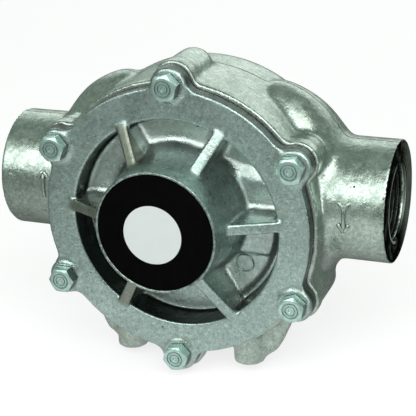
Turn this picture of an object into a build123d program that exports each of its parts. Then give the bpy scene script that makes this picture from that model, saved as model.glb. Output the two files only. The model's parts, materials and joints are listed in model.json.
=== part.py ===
from build123d import *
import os
from math import cos, radians, sin, sqrt

os.makedirs("parts", exist_ok=True)

# Roller pump, in millimetres. The frame's origin is on the shaft's axis at the face of the rear hub.
# +Y runs out along the drive shaft, +X points to the inlet port and +Z is up, so the end cover faces -Y.
# Angles round the shaft are counted from the top, clockwise as seen from the end cover.

# Chamber and stations along the shaft
shaft_offset = 5.15
chamber_radius = 62.0
chamber_width = 41.0
rear_hub_length = 39.0
rear_wall = 10.0
spigot_depth = 18.0
cover_wall = 10.0
flange_thickness = 7.4
front_hub_rise = 33.5

chamber_z = -shaft_offset
rear_wall_y = -rear_hub_length
chamber_rear_y = rear_wall_y - rear_wall
chamber_front_y = chamber_rear_y - chamber_width
chamber_mid_y = (chamber_rear_y + chamber_front_y) / 2
split_y = chamber_front_y - spigot_depth
recess_floor_y = chamber_front_y - cover_wall
flange_face_y = split_y - flange_thickness
front_rim_y = split_y - front_hub_rise

# End cover
flange_overhang = 11.0
spigot_clearance = 0.05
recess_setback = 5.5
recess_draft = 1.5
recess_corner = 5.0
lobe_radius = 9.6
lobe_blend = 7.0
pad_radius = 8.6
pad_rise = 1.1
hub_rim_radius = 32.5
hub_root_radius = 35.5
hub_root_blend = 4.0
rib_count = 6
rib_phase = 30.0
rib_width = 4.6
rib_overlap = 2.2
rib_end_rise = 0.9
rib_hub_drop = 11.0
rib_root_wall = 3.0
rear_rib_drop = 2.0
kidney_inner_radius = 34.0
kidney_setback = 13.0
kidney_depth = 3.0
kidney_start = 38.0
kidney_arc = 64.0
plateau_rise = 3.5
plateau_overlap = 1.0
plateau_inner_radii = (41.0, 38.0, 37.0)
plateau_start_angles = (332.0, 58.0, 112.0)
plateau_arc_angles = (52.0, 24.0, 34.0)

# Cover bolts, with half-inch heads
bolt_count = 6
bolt_outset = 1.55
bolt_radius = 3.97
bolt_hole_radius = 4.3
bolt_length = 30.0
bolt_hole_spare = 4.0
head_flats = 12.7
head_height = 6.1
head_washer_radius = 6.6
head_washer_height = 0.5
head_angles = (15.0, 10.0, 20.0, 12.0, 0.0, 8.0)
tapped_clearance = 0.02

# Pump body
chamber_wall = 13.5
body_shoulder = 17.0
body_flange_step = 1.2
body_flange_thickness = 8.0
body_lobe_radius = 11.2
bolt_boss_radius = 10.6
top_boss_length = 38.5
upper_boss_length = 24.0
lower_boss_length = 44.0

# Ports
port_half_span = 107.3
port_rise = 2.0
port_boss_radius = 32.4
flare_half_width = 31.0
flare_stations = (83.0, 80.0, 73.0, 61.0, 50.0, 38.0)
flare_heights = (31.0, 32.6, 41.5, 53.5, 59.0, 59.5)
port_thread_radius = 20.1
port_thread_length = 26.0
port_chamfer = 1.9
port_passage_radius = 18.0
channel_depth = 8.0
channel_width = 26.0
channel_start = 26.0
channel_arc = 70.0

# Mounting feet
foot_spacing_x = 68.3
foot_spacing_y = 54.0
foot_setback = 8.9
foot_radius = 8.4
foot_stand = 5.05
foot_height = 25.7
foot_edge = 0.5
foot_hole_radius = 3.97
foot_hole_depth = 16.0
web_thickness = 12.0
web_behind_foot = 6.0
web_boss_round = 4.0
web_boss_inset = 3.4
web_belly_round = 6.5
web_belly_out = 1.85
web_belly_rise = 11.2
web_foot_round = 2.0
web_top_round = 4.0

# Bearings, retaining rings and seals
bearing_bore_radius = 12.5
bearing_outer_radius = 26.0
bearing_width = 15.0
front_bearing_depth = 8.2
rear_bearing_depth = 7.2
ball_count = 9
ball_share = 0.294
shoulder_share = 0.718
cage_share = 0.415
cage_side_share = 0.63
race_conformity = 1.04
race_clearance = 0.02
cage_clearance = 0.1
shield_inset = 0.3
shield_thickness = 0.8
shield_clearance = 0.5
hub_ring_thickness = 2.0
hub_ring_slack = 0.2
hub_ring_groove_depth = 1.5
hub_ring_overlap = 2.8
hub_ring_gap = 13.0
hub_ring_eye = 3.0
hub_ring_eye_inset = 0.6
ring_eye_hole = 1.2
ring_slack = 0.2
shaft_ring_thickness = 1.2
shaft_ring_groove_radius = 11.9
shaft_ring_outer_radius = 14.6
shaft_ring_gap = 8.0
bearing_seat_step = 4.4
cavity_length = 4.0
seal_outer_radius = 21.0
seal_bore_length = 10.0
seal_width = 8.0
seal_case_wall = 1.0
seal_case_lip_radius = 15.5
seal_lip_clearance = 0.05
seal_lip_contact = 1.2
seal_lip_root = 1.6
garter_radius = 0.8
shaft_hole_radius = 13.5

# Shaft, rotor and rollers
output_radius = 11.906
output_length = 46.0
output_key_width = 6.35
output_key_depth = 3.3
output_key_length = 34.0
journal_end = 0.0
rotor_seat_radius = 12.7
shaft_end_depth = 5.6
shaft_chamfer = 1.0
rotor_tip_clearance = 0.1
rotor_side_clearance = 0.1
slot_count = 6
slot_phase = 30.0
roller_radius = 12.7
roller_slot_clearance = 0.1
roller_side_clearance = 0.15
roller_chamfer = 0.6
slot_bottom_spare = 0.65
rotor_key_width = 6.35
rotor_key_height = 6.35
rotor_key_length = 32.0
rotor_key_embed = 3.2
key_clearance = 0.02
set_screw_radius = 3.97
set_screw_fill = 0.67
set_screw_socket = 4.0

# Cap, label, seals outside the chamber
cap_radius = 31.0
cap_depth = 5.0
cap_plate = 2.4
cap_setback = 0.4
cap_skirt = 2.5
label_radius = 15.6
label_thickness = 0.3
label_shift_x = -1.2
label_shift_z = -1.0
o_ring_radius = 1.3
o_ring_setback = 5.0
o_ring_groove_spare = 0.5
slinger_tip_clearance = 0.8
slinger_hub_radius = 15.5
slinger_plate_front = -3.3
slinger_plate_rear = -1.7
slinger_hub_front = -4.8
slinger_hub_rear = -0.2

# Sizes and places that follow from those above
full_turn = 360.0
cut_over = 5.0
body_radius = chamber_radius + chamber_wall
flange_radius = chamber_radius + flange_overhang
body_flange_radius = flange_radius + body_flange_step
recess_radius = chamber_radius - recess_setback
bolt_circle_radius = flange_radius + bolt_outset
channel_radius = chamber_radius + channel_depth
kidney_outer_radius = chamber_radius - kidney_setback
spigot_radius = chamber_radius - spigot_clearance
port_z = port_rise
front_foot_y = split_y + foot_setback
foot_level = chamber_z - body_radius - foot_stand
foot_top = foot_level + foot_height
front_bearing_y = front_rim_y + front_bearing_depth + bearing_width / 2
rear_bearing_y = -rear_bearing_depth - bearing_width / 2
ball_pitch_radius = (bearing_bore_radius + bearing_outer_radius) / 2
ball_radius = ball_share * (bearing_outer_radius - bearing_bore_radius)
outer_shoulder_radius = ball_pitch_radius + shoulder_share * ball_radius
inner_shoulder_radius = ball_pitch_radius - shoulder_share * ball_radius
cage_outer_radius = ball_pitch_radius + cage_share * ball_radius
cage_inner_radius = ball_pitch_radius - cage_share * ball_radius
ball_side_room = bearing_width / 2 - shield_inset - shield_thickness - ball_radius
cage_width = 2 * (ball_radius + cage_side_share * ball_side_room)
hub_ring_groove_radius = bearing_outer_radius + hub_ring_groove_depth
hub_ring_inner_radius = bearing_outer_radius - hub_ring_overlap
hub_ring_eye_radius = hub_ring_inner_radius - hub_ring_eye_inset
cavity_radius = bearing_outer_radius - bearing_seat_step
slinger_plate_radius = bearing_outer_radius - slinger_tip_clearance
rotor_radius = chamber_radius - shaft_offset - rotor_tip_clearance
rotor_width = chamber_width - 2 * rotor_side_clearance
roller_width = chamber_width - 2 * roller_side_clearance
slot_centre_radius = chamber_radius - shaft_offset - roller_radius - slot_bottom_spare
slot_width = 2 * (roller_radius + roller_slot_clearance)
roller_rest_radius = slot_centre_radius + roller_slot_clearance
set_screw_length = set_screw_fill * (slot_centre_radius - slot_width / 2 - rotor_seat_radius)
boss_lengths = (
    top_boss_length,
    upper_boss_length,
    lower_boss_length,
    top_boss_length,
    lower_boss_length,
    upper_boss_length,
)


def across(y, z=0.0):
    """Plane across the shaft: sketch x is X, sketch y is Z, and extruding goes towards the end cover."""
    return Plane(origin=(0, y, z), x_dir=(1, 0, 0), z_dir=(0, -1, 0))


def along(angle, z=0.0):
    """Half-plane that holds the axis: sketch x is Y and sketch y is the distance from the axis."""
    turn = radians(angle)
    return Plane(origin=(0, 0, z), x_dir=(0, 1, 0), z_dir=(cos(turn), 0, -sin(turn)))


def axis_at(z):
    return Axis((0, 0, z), (0, 1, 0))


def area(points, plane):
    """A face inside straight lines through the points."""
    with BuildSketch(plane) as face:
        with BuildLine():
            Polyline(*points, close=True)
        make_face()
    return face.sketch


def disc(front, rear, outer, inner=0.0, z=0.0, mode=Mode.ADD):
    """A disc or ring between two stations along the shaft, added to the part being built or cut from it."""
    with BuildSketch(across(rear, z)) as face:
        Circle(outer)
        if inner > 0:
            Circle(inner, mode=Mode.SUBTRACT)
    extrude(face.sketch, amount=rear - front, mode=mode)


def reach(angle, radius):
    """Distance from the shaft's axis to a circle round the chamber's axis."""
    turn = radians(angle)
    return -shaft_offset * cos(turn) + sqrt(radius**2 - (shaft_offset * sin(turn)) ** 2)


def on_circle(radius, angle, z=0.0):
    """X and Z of a point on a circle round the axis at height z."""
    return radius * sin(radians(angle)), z + radius * cos(radians(angle))


bolt_angles = [number * full_turn / bolt_count for number in range(bolt_count)]
bolt_centres = [on_circle(bolt_circle_radius, angle, chamber_z) for angle in bolt_angles]


def save(builder, name):
    builder.part.label = name
    export_step(builder.part, f"parts/{name}.step")


def cut_hub_bores(rim_y, inward, bearing_depth, wall_y):
    """Cuts the stepped bore of a hub: ring groove, bearing seat, drain cavity, seal seat and shaft hole."""
    groove = bearing_depth - hub_ring_thickness - hub_ring_slack
    bearing_end = bearing_depth + bearing_width
    cavity_end = bearing_end + cavity_length
    seal_end = cavity_end + seal_bore_length
    steps = [
        (-cut_over, 0),
        (-cut_over, bearing_outer_radius),
        (groove, bearing_outer_radius),
        (groove, hub_ring_groove_radius),
        (bearing_depth, hub_ring_groove_radius),
        (bearing_depth, bearing_outer_radius),
        (bearing_end, bearing_outer_radius),
        (bearing_end, cavity_radius),
        (cavity_end, cavity_radius),
        (cavity_end, seal_outer_radius),
        (seal_end, seal_outer_radius),
        (seal_end, shaft_hole_radius),
        (abs(wall_y - rim_y) + cut_over, shaft_hole_radius),
        (abs(wall_y - rim_y) + cut_over, 0),
    ]
    profile = area([(rim_y + inward * depth, radius) for depth, radius in steps], along(0))
    revolve(profile, axis=Axis.Y, mode=Mode.SUBTRACT)


def add_ribs(floor_y, hub_y, end_y, end_radius, root_radius):
    """Adds the radial ribs that join a hub to the wall round it."""
    for number in range(rib_count):
        angle = rib_phase + number * full_turn / rib_count
        far = reach(angle, end_radius)
        corners = [(floor_y, root_radius), (hub_y, root_radius), (end_y, far), (floor_y, far)]
        extrude(area(corners, along(angle)), amount=rib_width / 2, both=True)


# End cover: lobed flange, spigot into the body, recess with ribs round the front hub
with BuildPart() as end_cover:
    with BuildSketch(across(split_y, chamber_z)) as flange:
        Circle(flange_radius)
        with PolarLocations(bolt_circle_radius, bolt_count, start_angle=90):
            Circle(lobe_radius)
        fillet(flange.vertices(), lobe_blend)
    extrude(amount=flange_thickness)
    with BuildSketch(across(flange_face_y, chamber_z)):
        with PolarLocations(bolt_circle_radius, bolt_count, start_angle=90):
            Circle(pad_radius)
    extrude(amount=pad_rise)
    disc(split_y, chamber_front_y, spigot_radius, z=chamber_z)
    with BuildSketch(along(0, chamber_z)) as recess:
        with BuildLine():
            Polyline(
                (flange_face_y - cut_over, 0),
                (flange_face_y - cut_over, recess_radius),
                (flange_face_y, recess_radius),
                (recess_floor_y, recess_radius - recess_draft),
                (recess_floor_y, 0),
                close=True,
            )
        make_face()
        fillet(recess.vertices().sort_by(Axis.X)[-2:].sort_by(Axis.Y)[-1], recess_corner)
    revolve(axis=axis_at(chamber_z), mode=Mode.SUBTRACT)
    for inner, start, arc in zip(plateau_inner_radii, plateau_start_angles, plateau_arc_angles):
        plateau = area(
            [
                (recess_floor_y + cover_wall / 2, inner),
                (recess_floor_y + cover_wall / 2, recess_radius + plateau_overlap),
                (recess_floor_y - plateau_rise, recess_radius + plateau_overlap),
                (recess_floor_y - plateau_rise, inner + plateau_rise),
                (recess_floor_y, inner),
            ],
            along(start, chamber_z),
        )
        revolve(plateau, axis=axis_at(chamber_z), revolution_arc=arc)
    with BuildSketch(along(0)) as hub:
        with BuildLine():
            Polyline(
                (recess_floor_y + cover_wall / 2, 0),
                (recess_floor_y + cover_wall / 2, hub_root_radius + hub_root_blend),
                (recess_floor_y, hub_root_radius + hub_root_blend),
                (recess_floor_y - hub_root_blend, hub_root_radius),
                (front_rim_y, hub_rim_radius),
                (front_rim_y, 0),
                close=True,
            )
        make_face()
    revolve(axis=Axis.Y)
    add_ribs(
        recess_floor_y + cover_wall / 2,
        front_rim_y + rib_hub_drop,
        flange_face_y - rib_end_rise,
        recess_radius + rib_overlap,
        bearing_outer_radius + rib_root_wall,
    )
    cut_hub_bores(front_rim_y, 1, front_bearing_depth, chamber_front_y)
    disc(front_rim_y - cut_over, front_rim_y + cap_depth, cap_radius, mode=Mode.SUBTRACT)
    with BuildSketch(across(split_y, chamber_z)):
        with PolarLocations(bolt_circle_radius, bolt_count, start_angle=90):
            Circle(bolt_hole_radius)
    extrude(amount=flange_thickness + pad_rise, mode=Mode.SUBTRACT)
    o_ring_groove_depth = 2 * o_ring_radius - spigot_clearance
    disc(
        split_y + o_ring_setback,
        split_y + o_ring_setback + 2 * o_ring_radius + o_ring_groove_spare,
        chamber_radius + cut_over,
        spigot_radius - o_ring_groove_depth,
        z=chamber_z,
        mode=Mode.SUBTRACT,
    )
    for start in (kidney_start, full_turn - kidney_start - kidney_arc):
        kidney = area(
            [
                (chamber_front_y - kidney_depth, kidney_inner_radius),
                (chamber_front_y + cut_over, kidney_inner_radius),
                (chamber_front_y + cut_over, kidney_outer_radius),
                (chamber_front_y - kidney_depth, kidney_outer_radius),
            ],
            along(start),
        )
        revolve(kidney, axis=Axis.Y, revolution_arc=kidney_arc, mode=Mode.SUBTRACT)
save(end_cover, "end_cover")

# Pump body: chamber, port bosses, bolt bosses, feet and the rear hub
with BuildPart() as pump_body:
    with BuildSketch(along(0, chamber_z)) as barrel:
        with BuildLine():
            Polyline(
                (split_y, 0),
                (split_y, body_radius),
                (rear_wall_y, body_radius),
                (rear_wall_y, 0),
                close=True,
            )
        make_face()
        fillet(barrel.vertices().sort_by(Axis.X)[-2:].sort_by(Axis.Y)[-1], body_shoulder)
    revolve(axis=axis_at(chamber_z))
    with BuildSketch(across(split_y, chamber_z)) as body_flange:
        Circle(body_flange_radius)
        with PolarLocations(bolt_circle_radius, bolt_count, start_angle=90):
            Circle(body_lobe_radius)
        fillet(body_flange.vertices(), lobe_blend)
    extrude(amount=-body_flange_thickness)
    for number, (bolt_x, bolt_z) in enumerate(bolt_centres):
        boss_tip = (split_y + boss_lengths[number], 0)
        boss_round = (boss_tip[0] - bolt_boss_radius, bolt_boss_radius)
        with BuildSketch(Plane(origin=(bolt_x, 0, bolt_z), x_dir=(0, 1, 0), z_dir=(1, 0, 0))):
            with BuildLine():
                Polyline(boss_tip, (split_y, 0), (split_y, bolt_boss_radius), boss_round)
                RadiusArc(boss_round, boss_tip, bolt_boss_radius)
            make_face()
        revolve(axis=Axis((bolt_x, 0, bolt_z), (0, 1, 0)))
    with BuildSketch(Plane.YZ):
        with Locations((chamber_mid_y, port_z)):
            Circle(port_boss_radius)
    extrude(amount=port_half_span, both=True)
    for side in (1, -1):
        flares = sorted((side * station, height) for station, height in zip(flare_stations, flare_heights))
        for flare_x, height in flares:
            with BuildSketch(Plane.YZ.offset(flare_x)):
                with Locations((chamber_mid_y, port_z)):
                    Ellipse(flare_half_width, height)
        loft()
        boss_x, boss_z = bolt_centres[2]
        foot_side_x = foot_spacing_x / 2 + foot_radius
        web_rounds = (
            (boss_x - web_boss_inset, boss_z, web_boss_round),
            (foot_side_x + web_belly_out, foot_level + web_belly_rise, web_belly_round),
            (foot_side_x - web_foot_round, foot_level + foot_edge + web_foot_round, web_foot_round),
            (foot_spacing_x / 2, foot_top, web_top_round),
        )
        with BuildSketch(across(front_foot_y + web_behind_foot + web_thickness / 2)):
            for round_x, round_z, round_radius in web_rounds:
                with Locations((side * round_x, round_z)):
                    Circle(round_radius)
            make_hull()
        extrude(amount=web_thickness)
    for foot_x in (foot_spacing_x / 2, -foot_spacing_x / 2):
        for foot_y in (front_foot_y, front_foot_y + foot_spacing_y):
            with BuildSketch(Plane.XY.offset(foot_level)):
                with Locations((foot_x, foot_y)):
                    Circle(foot_radius)
            extrude(amount=foot_top - foot_level)
    with BuildSketch(along(0)):
        with BuildLine():
            Polyline(
                (rear_wall_y - rear_wall / 2, 0),
                (rear_wall_y - rear_wall / 2, hub_root_radius + hub_root_blend),
                (rear_wall_y, hub_root_radius + hub_root_blend),
                (rear_wall_y + hub_root_blend, hub_root_radius),
                (0, hub_rim_radius),
                (0, 0),
                close=True,
            )
        make_face()
    revolve(axis=Axis.Y)
    add_ribs(
        rear_wall_y - rear_wall / 2,
        -rib_hub_drop,
        rear_wall_y - rear_rib_drop,
        body_radius - body_shoulder,
        bearing_outer_radius + rib_root_wall,
    )
    disc(split_y - cut_over, chamber_rear_y, chamber_radius, z=chamber_z, mode=Mode.SUBTRACT)
    cut_hub_bores(0, -1, rear_bearing_depth, chamber_rear_y)
    port_steps = [
        (port_half_span + cut_over, 0),
        (port_half_span + cut_over, port_thread_radius + port_chamfer),
        (port_half_span, port_thread_radius + port_chamfer),
        (port_half_span - port_chamfer, port_thread_radius),
        (port_half_span - port_thread_length, port_thread_radius),
        (port_half_span - port_thread_length, port_passage_radius),
        (chamber_radius / 2, port_passage_radius),
        (chamber_radius / 2, 0),
    ]
    port_plane = Plane(origin=(0, chamber_mid_y, port_z), x_dir=(1, 0, 0), z_dir=(0, -1, 0))
    for side in (1, -1):
        port_bore = area([(side * station, radius) for station, radius in port_steps], port_plane)
        revolve(port_bore, axis=Axis(port_plane.origin, (1, 0, 0)), mode=Mode.SUBTRACT)
    for start in (channel_start, full_turn - channel_start - channel_arc):
        channel = area(
            [
                (chamber_mid_y - channel_width / 2, chamber_radius - cut_over),
                (chamber_mid_y + channel_width / 2, chamber_radius - cut_over),
                (chamber_mid_y + channel_width / 2, channel_radius),
                (chamber_mid_y - channel_width / 2, channel_radius),
            ],
            along(start, chamber_z),
        )
        revolve(channel, axis=axis_at(chamber_z), revolution_arc=channel_arc, mode=Mode.SUBTRACT)
    with BuildSketch(across(split_y, chamber_z)):
        with PolarLocations(bolt_circle_radius, bolt_count, start_angle=90):
            Circle(bolt_radius + tapped_clearance)
    extrude(amount=-(bolt_length - flange_thickness - pad_rise + bolt_hole_spare), mode=Mode.SUBTRACT)
    for foot_x in (foot_spacing_x / 2, -foot_spacing_x / 2):
        for foot_y in (front_foot_y, front_foot_y + foot_spacing_y):
            with BuildSketch(Plane.XY.offset(foot_level)):
                with Locations((foot_x, foot_y)):
                    Circle(foot_hole_radius)
            extrude(amount=foot_hole_depth, mode=Mode.SUBTRACT)
save(pump_body, "pump_body")

# Hex bolts that hold the cover, one node with a solid for each
with BuildPart() as cover_bolts:
    with BuildSketch(across(flange_face_y - pad_rise, chamber_z)):
        with PolarLocations(bolt_circle_radius, bolt_count, start_angle=90):
            Circle(head_washer_radius)
    extrude(amount=head_washer_height)
    for centre, turn in zip(bolt_centres, head_angles):
        with BuildSketch(across(flange_face_y - pad_rise - head_washer_height)):
            with Locations(centre):
                RegularPolygon(head_flats / 2, 6, major_radius=False, rotation=turn)
        extrude(amount=head_height - head_washer_height)
    with BuildSketch(across(flange_face_y - pad_rise, chamber_z)):
        with PolarLocations(bolt_circle_radius, bolt_count, start_angle=90):
            Circle(bolt_radius)
    extrude(amount=-bolt_length)
save(cover_bolts, "cover_bolts")

# O-ring in the spigot's groove
o_ring_y = split_y + o_ring_setback + o_ring_radius + o_ring_groove_spare / 2
with BuildPart() as cover_o_ring:
    with BuildSketch(along(0, chamber_z)):
        with Locations((o_ring_y, chamber_radius - o_ring_radius)):
            Circle(o_ring_radius - tapped_clearance)
    revolve(axis=axis_at(chamber_z))
save(cover_o_ring, "cover_o_ring")

# Black cap pressed into the front hub, and the thin round label on it
cap_face_y = front_rim_y + cap_setback
with BuildPart() as hub_cap:
    disc(cap_face_y, cap_face_y + cap_plate, cap_radius)
    disc(cap_face_y + cap_plate, front_rim_y + cap_depth, cap_radius, cap_radius - cap_skirt)
save(hub_cap, "hub_cap")

with BuildPart() as cap_label:
    with BuildSketch(across(cap_face_y)):
        with Locations((label_shift_x, label_shift_z)):
            Circle(label_radius)
    extrude(amount=label_thickness)
save(cap_label, "cap_label")

# Drive shaft: rotor seat in the middle, a journal each side and the keyed output end
shaft_front_y = front_rim_y + shaft_end_depth
rotor_front_y = chamber_mid_y - rotor_width / 2
rotor_rear_y = chamber_mid_y + rotor_width / 2
front_ring_y = front_rim_y + front_bearing_depth - shaft_ring_thickness
rear_ring_y = -rear_bearing_depth
with BuildPart() as drive_shaft:
    shaft_steps = [
        (shaft_front_y, 0),
        (shaft_front_y, bearing_bore_radius - shaft_chamfer),
        (shaft_front_y + shaft_chamfer, bearing_bore_radius),
        (front_ring_y, bearing_bore_radius),
        (front_ring_y, shaft_ring_groove_radius),
        (front_ring_y + shaft_ring_thickness, shaft_ring_groove_radius),
        (front_ring_y + shaft_ring_thickness, bearing_bore_radius),
        (rotor_front_y, bearing_bore_radius),
        (rotor_front_y, rotor_seat_radius),
        (rotor_rear_y, rotor_seat_radius),
        (rotor_rear_y, bearing_bore_radius),
        (rear_ring_y, bearing_bore_radius),
        (rear_ring_y, shaft_ring_groove_radius),
        (rear_ring_y + shaft_ring_thickness, shaft_ring_groove_radius),
        (rear_ring_y + shaft_ring_thickness, bearing_bore_radius),
        (journal_end, bearing_bore_radius),
        (journal_end, output_radius),
        (output_length - shaft_chamfer, output_radius),
        (output_length, output_radius - shaft_chamfer),
        (output_length, 0),
    ]
    revolve(area(shaft_steps, along(0)), axis=Axis.Y)
    with BuildSketch(Plane.XY.offset(output_radius)):
        with Locations((0, output_length)):
            SlotOverall(2 * output_key_length, output_key_width, rotation=90)
    extrude(amount=-output_key_depth, mode=Mode.SUBTRACT)
    with BuildSketch(Plane.XY.offset(rotor_seat_radius)):
        with Locations((0, chamber_mid_y)):
            Rectangle(rotor_key_width, rotor_key_length)
    extrude(amount=-rotor_key_embed, mode=Mode.SUBTRACT)
save(drive_shaft, "drive_shaft")

# Rotor: six slots open to the rim, a keyway, and screw holes from two of the slots down to the shaft
rotor_key_top = rotor_seat_radius - rotor_key_embed + rotor_key_height
screw_angles = (slot_phase + full_turn / slot_count, slot_phase + 4 * full_turn / slot_count)
with BuildPart() as rotor:
    with BuildSketch(across(rotor_rear_y)) as rotor_face:
        Circle(rotor_radius)
        Circle(rotor_seat_radius, mode=Mode.SUBTRACT)
        with Locations((0, rotor_key_top / 2)):
            Rectangle(rotor_key_width, rotor_key_top, mode=Mode.SUBTRACT)
        with PolarLocations(slot_centre_radius, slot_count, start_angle=90 - slot_phase):
            Circle(slot_width / 2, mode=Mode.SUBTRACT)
            Rectangle(rotor_radius, slot_width, align=(Align.MIN, Align.CENTER), mode=Mode.SUBTRACT)
    extrude(amount=rotor_width)
    for angle in screw_angles:
        turn = radians(angle)
        outward = Plane(origin=(0, chamber_mid_y, 0), z_dir=(sin(turn), 0, cos(turn)))
        with BuildSketch(outward):
            Circle(set_screw_radius + tapped_clearance)
        extrude(amount=slot_centre_radius, mode=Mode.SUBTRACT)
save(rotor, "rotor")

with BuildPart() as rotor_set_screws:
    for angle in screw_angles:
        turn = radians(angle)
        outward = Plane(origin=(0, chamber_mid_y, 0), z_dir=(sin(turn), 0, cos(turn)))
        with BuildSketch(outward.offset(rotor_seat_radius + key_clearance)):
            Circle(set_screw_radius)
        extrude(amount=set_screw_length)
        with BuildSketch(outward.offset(rotor_seat_radius + key_clearance + set_screw_length)):
            RegularPolygon(set_screw_socket / 2, 6, major_radius=False)
        extrude(amount=-set_screw_length / 2, mode=Mode.SUBTRACT)
save(rotor_set_screws, "rotor_set_screws")

with BuildPart() as rotor_key:
    with BuildSketch(Plane.XY.offset(rotor_seat_radius - rotor_key_embed)):
        with Locations((0, chamber_mid_y)):
            Rectangle(rotor_key_width - 2 * key_clearance, rotor_key_length - 2 * key_clearance)
    extrude(amount=rotor_key_height - key_clearance)
save(rotor_key, "rotor_key")

# Rollers, each at the bottom of its slot
for number in range(slot_count):
    angle = slot_phase + number * full_turn / slot_count
    with BuildPart() as roller:
        with BuildSketch(across(chamber_mid_y + roller_width / 2)):
            with Locations(on_circle(roller_rest_radius, angle)):
                Circle(roller_radius)
        extrude(amount=roller_width)
        chamfer(roller.edges().filter_by(GeomType.CIRCLE), roller_chamfer)
    save(roller, f"roller_{number + 1}")


def bearing(end, centre_y):
    """Writes one sealed ball bearing: outer ring, inner ring, balls, cage and the two shields."""
    groove_radius = ball_radius * race_conformity
    outer_groove = ball_pitch_radius + ball_radius + race_clearance - groove_radius
    inner_groove = ball_pitch_radius - ball_radius - race_clearance + groove_radius
    front, rear = centre_y - bearing_width / 2, centre_y + bearing_width / 2
    with BuildPart() as outer_ring:
        disc(front, rear, bearing_outer_radius, outer_shoulder_radius)
        with BuildSketch(along(0)) as groove:
            with Locations((centre_y, outer_groove)):
                Circle(groove_radius)
        revolve(groove.sketch, axis=Axis.Y, mode=Mode.SUBTRACT)
    save(outer_ring, f"{end}_bearing_outer_ring")
    with BuildPart() as inner_ring:
        disc(front, rear, inner_shoulder_radius, bearing_bore_radius)
        with BuildSketch(along(0)) as groove:
            with Locations((centre_y, inner_groove)):
                Circle(groove_radius)
        revolve(groove.sketch, axis=Axis.Y, mode=Mode.SUBTRACT)
    save(inner_ring, f"{end}_bearing_inner_ring")
    with BuildPart() as balls:
        with Locations(across(centre_y)):
            with PolarLocations(ball_pitch_radius, ball_count, start_angle=90):
                Sphere(ball_radius)
    save(balls, f"{end}_bearing_balls")
    with BuildPart() as cage:
        disc(centre_y - cage_width / 2, centre_y + cage_width / 2, cage_outer_radius, cage_inner_radius)
        for number in range(ball_count):
            turn = radians(number * full_turn / ball_count)
            outward = Plane(origin=(0, centre_y, 0), z_dir=(sin(turn), 0, cos(turn)))
            with BuildSketch(outward.offset(ball_pitch_radius - ball_radius)) as pocket:
                Circle(ball_radius + cage_clearance)
            extrude(pocket.sketch, amount=2 * ball_radius, mode=Mode.SUBTRACT)
    save(cage, f"{end}_bearing_cage")
    with BuildPart() as shields:
        for outside, inside in ((front + shield_inset, 1), (rear - shield_inset, -1)):
            near, far = sorted((outside, outside + inside * shield_thickness))
            disc(near, far, outer_shoulder_radius, inner_shoulder_radius + shield_clearance)
    save(shields, f"{end}_bearing_shields")


bearing("front", front_bearing_y)
bearing("rear", rear_bearing_y)


def hub_ring(end, face_y):
    """Writes the retaining ring in a hub's groove, with its gap and two eyes at the bottom."""
    eyes = [(-hub_ring_gap / 2, -hub_ring_eye_radius), (hub_ring_gap / 2, -hub_ring_eye_radius)]
    with BuildPart() as ring:
        with BuildSketch(across(face_y)) as shape:
            Circle(hub_ring_groove_radius - ring_slack)
            Circle(hub_ring_inner_radius, mode=Mode.SUBTRACT)
            with Locations(eyes):
                Circle(hub_ring_eye)
            with Locations((0, -hub_ring_groove_radius)):
                Rectangle(hub_ring_gap - hub_ring_eye, hub_ring_groove_radius, mode=Mode.SUBTRACT)
            with Locations(eyes):
                Circle(ring_eye_hole, mode=Mode.SUBTRACT)
        extrude(shape.sketch, amount=hub_ring_thickness)
    save(ring, f"{end}_hub_ring")


def shaft_ring(end, rear_y):
    """Writes the open retaining ring in a groove of the shaft."""
    with BuildPart() as ring:
        with BuildSketch(across(rear_y)) as shape:
            Circle(shaft_ring_outer_radius)
            Circle(shaft_ring_groove_radius + ring_slack / 2, mode=Mode.SUBTRACT)
            with Locations((0, -shaft_ring_outer_radius)):
                Rectangle(shaft_ring_gap, shaft_ring_outer_radius, mode=Mode.SUBTRACT)
        extrude(shape.sketch, amount=shaft_ring_thickness)
    save(ring, f"{end}_shaft_ring")


hub_ring("front", front_rim_y + front_bearing_depth)
hub_ring("rear", -rear_bearing_depth + hub_ring_thickness)
shaft_ring("front", front_ring_y + shaft_ring_thickness)
shaft_ring("rear", rear_ring_y + shaft_ring_thickness)


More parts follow.
